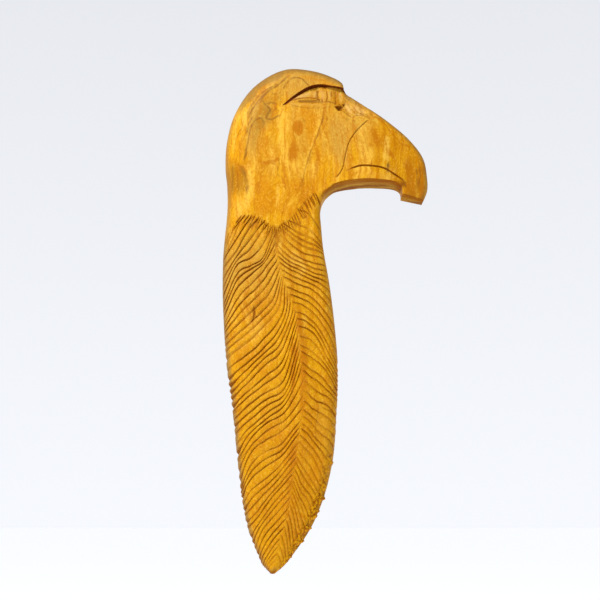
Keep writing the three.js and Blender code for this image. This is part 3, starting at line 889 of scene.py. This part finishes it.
place = Tone.node("TexCoord", out="Object")
bends = Tone.node("TexNoise", {}, {"Vector": place, "Scale": 13, "Detail": 2, "Roughness": 0.5}, "Color")
bends = vector_maths("SUBTRACT", bends, (0.5, 0.5, 0.5))
bent_place = vector_maths("ADD", place, vector_maths("MULTIPLY", bends, (0.045, 0.02, 0.03)))
across_board = Tone.node("SeparateXYZ", {}, {0: place}, "X")
through_board = Tone.node("SeparateXYZ", {}, {0: place}, "Y")
up_board = Tone.node("SeparateXYZ", {}, {0: place}, "Z")

# Distance from the trunk's middle, warped by slow waves along the grain, gives the growth rings.
trunk_x, trunk_y = -0.015, 0.05
rings_in_a_metre = 170
slow = cloud((11, 11, 4))
wave = cloud((38, 38, 13), 3, 0.55)
side = across_board - trunk_x + 0.10 * (slow - 0.5)
deep = through_board - trunk_y + 0.09 * (cloud((8, 8, 3.4)) - 0.5)
ring = ((side * side + deep * deep) ** 0.5 * rings_in_a_metre + 1.6 * wave) % 1
late_wood = ring.band(0.1, 0.86) * (1 - ring.band(0.88, 1.0))
ring_line = ring.band(0.74, 0.87) * (1 - ring.band(0.88, 0.97))
fibre = cloud((520, 520, 18), 2, 0.6)
streak = cloud((150, 150, 7), 3, 0.6)
mottle = cloud((190, 190, 120), 3, 0.6)
blotch = cloud((34, 34, 19), 4, 0.62)
speck = cloud((420, 420, 260), 2, 0.6)

gold = (0.585, 0.275, 0.002, 1)
amber = (0.50, 0.190, 0.000, 1)
tan = (0.46, 0.245, 0.032, 1)
pale = (0.72, 0.42, 0.050, 1)
rust = (0.40, 0.130, 0.000, 1)
olive = (0.22, 0.092, 0.003, 1)
cut_brown = (0.245, 0.066, 0.000, 1)
grain_and_shade_brown = (0.19, 0.076, 0.008, 1)
# Dark brown for the painted shadow under the brow, and for the darker saw marks.
shadow_and_saw_brown = (0.15, 0.026, 0.001, 1)
rim_tan = (0.27, 0.143, 0.028, 1)
bare = (0.58, 0.34, 0.095, 1)

# The wood's own colour: paler and more tan towards the head, with dark late wood in each ring.
colour = (late_wood * (0.25 + 0.4 * shade("ring_show"))).blend(gold, amber)
colour = (ring_line * 0.6 * shade("ring_show")).blend(colour, olive)
upper = up_board.band(-0.42, -0.16)
colour = (slow.band(0.5, 0.64) * (0.1 + 0.5 * upper)).blend(colour, tan)
colour = (blotch.band(0.49, 0.62) * 0.7).blend(colour, amber)
colour = (upper * streak.band(0.46, 0.36) * 0.35).blend(colour, pale)
colour = (wave.band(0.45, 0.34) * (0.1 + 0.45 * upper)).blend(colour, pale)

# Stains and resin streaks, broken up by the grain, and fine specks over them. The pale and bare marks hold
# painted highlights as well as dry wood, and the brown marks hold painted shade as well as grain lines.
amber_mark = shade("amber_mark") * (0.3 + 1.4 * wave)
colour = ((shade("tan_soak") * (0.4 + 1.1 * blotch)).band(0.1, 0.9) * 0.85).blend(colour, tan)
colour = ((shade("amber_soak") * (0.3 + 1.4 * blotch)).band(0.1, 0.9) * 0.8).blend(colour, amber)
colour = (amber_mark.band(0.15, 0.85) * 0.9).blend(colour, rust)
# Pale marks: pale wood, and painted highlights on the lid and the lower jaw's edge.
colour = ((shade("pale_and_highlight_mark") * (0.4 + 1.1 * wave)).band(0.1, 0.9) * 0.85).blend(colour, pale)
colour = ((shade("brown_soak") * (0.4 + 1.1 * streak)).band(0.1, 1.0) * 0.6).blend(colour, olive)
colour = (streak.band(0.5, 0.66) * (0.4 + 0.25 * upper)).blend(colour, rust)
colour = (fibre.band(0.5, 0.8) * 0.2).blend(colour, tan)
colour = (mottle.band(0.5, 0.68) * 0.42).blend(colour, rust)
colour = (speck.band(0.5, 0.68) * 0.42).blend(colour, rust)
colour = (speck.band(0.46, 0.3) * 0.35).blend(colour, pale)
colour = (amber_mark.band(0.3, 1.1) * 0.6).blend(colour, rust)
# Brown marks: grain lines and smudges, and painted shade along creases and in dark corners.
grain_and_shade_lines = shade("brown_and_shade_mark") * (0.45 + 0.7 * wave + 0.4 * mottle.band(0.36, 0.6))
colour = (grain_and_shade_lines.band(0.1, 0.95) * 0.78).blend(colour, grain_and_shade_brown)
colour = (shade("rim_shade") * (0.6 + 0.5 * streak)).blend(colour, rim_tan)
# Bare marks: dry wood, and painted highlights on the lid and the chisel facets.
colour = ((shade("bare_and_highlight_mark") * (0.5 + wave)).band(0.1, 0.9) * 0.65).blend(colour, bare)

# End grain on the faces that look up or down, painted shade on those that look down, and saw marks; then a
# painted shadow along the front edge, painted shade in the cuts and the painted shadow under the brow.
facing_down = shade("end_grain") * -1
# Faces that look down are darkened as painted shade and end grain, faces that look up as end grain.
under_shade_and_soak = facing_down.band(0.25, 0.9) * 0.8 + shade("end_grain").band(0.35, 0.95) * 0.4
colour = under_shade_and_soak.blend(colour, olive)
saw_marks = cloud((16, 75, 60), 3, 0.6)
colour = (facing_down.band(0.5, 0.9) * saw_marks.band(0.5, 0.6) * 0.6).blend(colour, tan)
colour = (facing_down.band(0.5, 0.9) * saw_marks.band(0.48, 0.4) * 0.75).blend(colour, shadow_and_saw_brown)
# A painted shadow along the front edge of the faces that look down.
painted_front_edge_shadow = facing_down.band(0.3, 0.7) * (shade("wall_share") + 0.3 * (saw_marks - 0.5)).band(0.5, 0.8)
colour = (painted_front_edge_shadow * (0.5 + 0.5 * mottle)).blend(colour, cut_brown)
# Painted shade in the cuts, the notch, the chisel lines and the hook's corner, with the oil gathered in
# them.
cut = shade("cut_shade")
colour = (cut * 0.8).blend(colour, cut_brown)
# Painted shadow in the gap under the brow.
painted_brow_shadow = shade("brow_shadow_share").band(1.06, 0.94)
colour = (painted_brow_shadow * 0.97).blend(colour, shadow_and_saw_brown)

# Small gold lumps with painted shade in the gaps between them, where the lower right edge is torn.
lump_place = vector_maths("MULTIPLY", place, (300, 120, 240))
lumps = 1 - Tone.node("TexVoronoi", {"feature": "F1"}, {"Vector": lump_place, "Scale": 1}).band(0.36, 0.74)
lump_share = shade("lump_show") * (0.4 + wave)
colour = (lump_share * lumps * 0.9).blend(colour, gold)
# Painted shade in the gaps between the lumps.
colour = (lump_share * (1 - lumps) * 0.85).blend(colour, cut_brown)

grain_height = fibre * 0.35 + streak * 0.4 + late_wood * 0.25 + mottle * 0.35 + speck * 0.3
bump_height = grain_height + lump_share * lumps * 0.5
bump = Tone.node("Bump", {}, {"Strength": 0.4, "Distance": 0.0007, "Height": bump_height})
dull_share = 0.14 * blotch + 0.2 * cut + 0.4 * facing_down.band(0.3, 0.8) + 0.4 * lump_share
shader = Tone.node("BsdfPrincipled", {}, {
    "Base Color": colour, "Roughness": 0.44 + dull_share, "Normal": bump,
    "Specular IOR Level": 0.07, "Coat Weight": 0.01, "Coat Roughness": 0.3,
})
Tone.node("OutputMaterial", {}, {"Surface": shader})
mesh.materials.append(wood)

# The studio: a plain pale floor well below the carving, soft light from the upper left and a camera
# that looks slightly up at the hanging piece.
floor_height = -0.95
floor_mesh = bpy.data.meshes.new("studio_floor")
floor_shape = bmesh.new()
bmesh.ops.create_grid(floor_shape, x_segments=1, y_segments=1, size=30)
bmesh.ops.translate(floor_shape, verts=floor_shape.verts, vec=(0, 0, floor_height))
floor_shape.to_mesh(floor_mesh)
floor_shape.free()
studio_floor = bpy.data.objects.new("studio_floor", floor_mesh)
bpy.context.collection.objects.link(studio_floor)
paper = bpy.data.materials.new("pale_paper")
paper.use_nodes = True
paper_sockets = paper.node_tree.nodes["Principled BSDF"].inputs
paper_sockets["Base Color"].default_value = (0.90, 0.905, 0.92, 1)
paper_sockets["Roughness"].default_value = 0.9
paper_sockets["Emission Color"].default_value = (0.9, 0.91, 0.94, 1)
paper_sockets["Emission Strength"].default_value = 0.54
floor_mesh.materials.append(paper)

# The backdrop is a soft sky, a little brighter low down and behind the carving.
world = bpy.data.worlds.new("studio_world")
bpy.context.scene.world = world
world.use_nodes = True
Tone.tree = world.node_tree
direction = Tone.node("TexCoord", out="Generated")
backward = Tone.node("SeparateXYZ", {}, {0: direction}, "Y")
upward = Tone.node("SeparateXYZ", {}, {0: direction}, "Z")
low_glow = Tone.node("MapRange", {}, {
    "Value": upward, "From Min": 0.0, "From Max": 0.38, "To Min": 1.0, "To Max": 0.86})
back_glow = Tone.node("MapRange", {"interpolation_type": "SMOOTHSTEP"}, {
    "Value": backward, "From Min": -0.3, "From Max": 0.8, "To Min": 0.42, "To Max": 1.0})
sky_sockets = world.node_tree.nodes["Background"].inputs
sky_sockets["Color"].default_value = (0.93, 0.95, 1.0, 1)
world.node_tree.links.new((low_glow * back_glow).socket, sky_sockets["Strength"])

lamp = bpy.data.lights.new("window_light", "AREA")
lamp.size = 0.8
lamp.energy = 80
window_light = bpy.data.objects.new("window_light", lamp)
window_light.location = (-1.1, -1.8, 1.5)
lamp_aim = Vector((0, 0, -0.25))
window_light.rotation_euler = (lamp_aim - window_light.location).to_track_quat("-Z", "Y").to_euler()
bpy.context.collection.objects.link(window_light)

camera_tilt = math.radians(9)
camera_distance = 2.0
camera_aim = Vector((0.015, -0.040, -0.243))
camera_data = bpy.data.cameras.new("photo_camera")
camera_data.lens = 80
camera_data.sensor_width = 36
camera = bpy.data.objects.new("photo_camera", camera_data)
camera.location = camera_aim - camera_distance * Vector((0, math.cos(camera_tilt), math.sin(camera_tilt)))
camera.rotation_euler = (math.radians(90) + camera_tilt, 0, 0)
bpy.context.collection.objects.link(camera)
bpy.context.scene.camera = camera
bpy.context.scene.view_settings.view_transform = "Standard"
